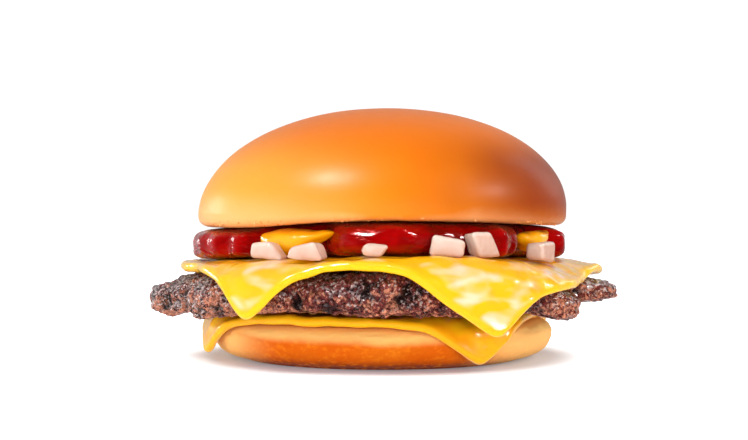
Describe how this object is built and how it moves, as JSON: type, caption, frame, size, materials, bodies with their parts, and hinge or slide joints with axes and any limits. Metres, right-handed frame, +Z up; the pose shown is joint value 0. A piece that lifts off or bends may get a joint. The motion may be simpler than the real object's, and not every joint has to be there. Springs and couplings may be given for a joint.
{
  "type": "cheeseburger",
  "caption": "Cheeseburger in a plain bun: a thin smashed patty between melted cheese slices, with ketchup, mustard and diced onion under the crown.",
  "frame": {"origin": "middle of the heel's flat foot, on the table", "axes": "+Z up through the crown; +X to the right as seen in the picture, along the patty's longest reach; the front, where the two long cheese corners hang, faces -Y"},
  "size_m": [0.1275, 0.1185, 0.0673],
  "materials": {
    "crust": "smooth baked crust, golden orange-brown, paler at the rim, soft sheen",
    "heel_crust": "matte finely wrinkled crust, orange with a pale cut edge",
    "meat": "dark seared ground beef, crumbly, with greasy glints",
    "cheese": "melted yellow processed cheese, smooth and glossy",
    "ketchup": "deep red, wet gloss",
    "mustard": "golden yellow, wet gloss",
    "onion": "raw white onion, slightly see-through, moist"
  },
  "bodies": {
    "root": {"bun_crown": "crust", "bun_heel": "heel_crust", "patty": "meat", "cheese_top": "cheese", "cheese_bottom": "cheese", "ketchup": "ketchup", "mustard_front_left": "mustard", "mustard_front_right": "mustard", "mustard_back": "mustard", "onion_01": "onion", "onion_02": "onion", "onion_03": "onion", "onion_04": "onion", "onion_05": "onion", "onion_06": "onion", "onion_07": "onion", "onion_08": "onion", "onion_09": "onion", "onion_10": "onion", "onion_11": "onion", "onion_12": "onion", "onion_13": "onion"}
  },
  "joints": []
}
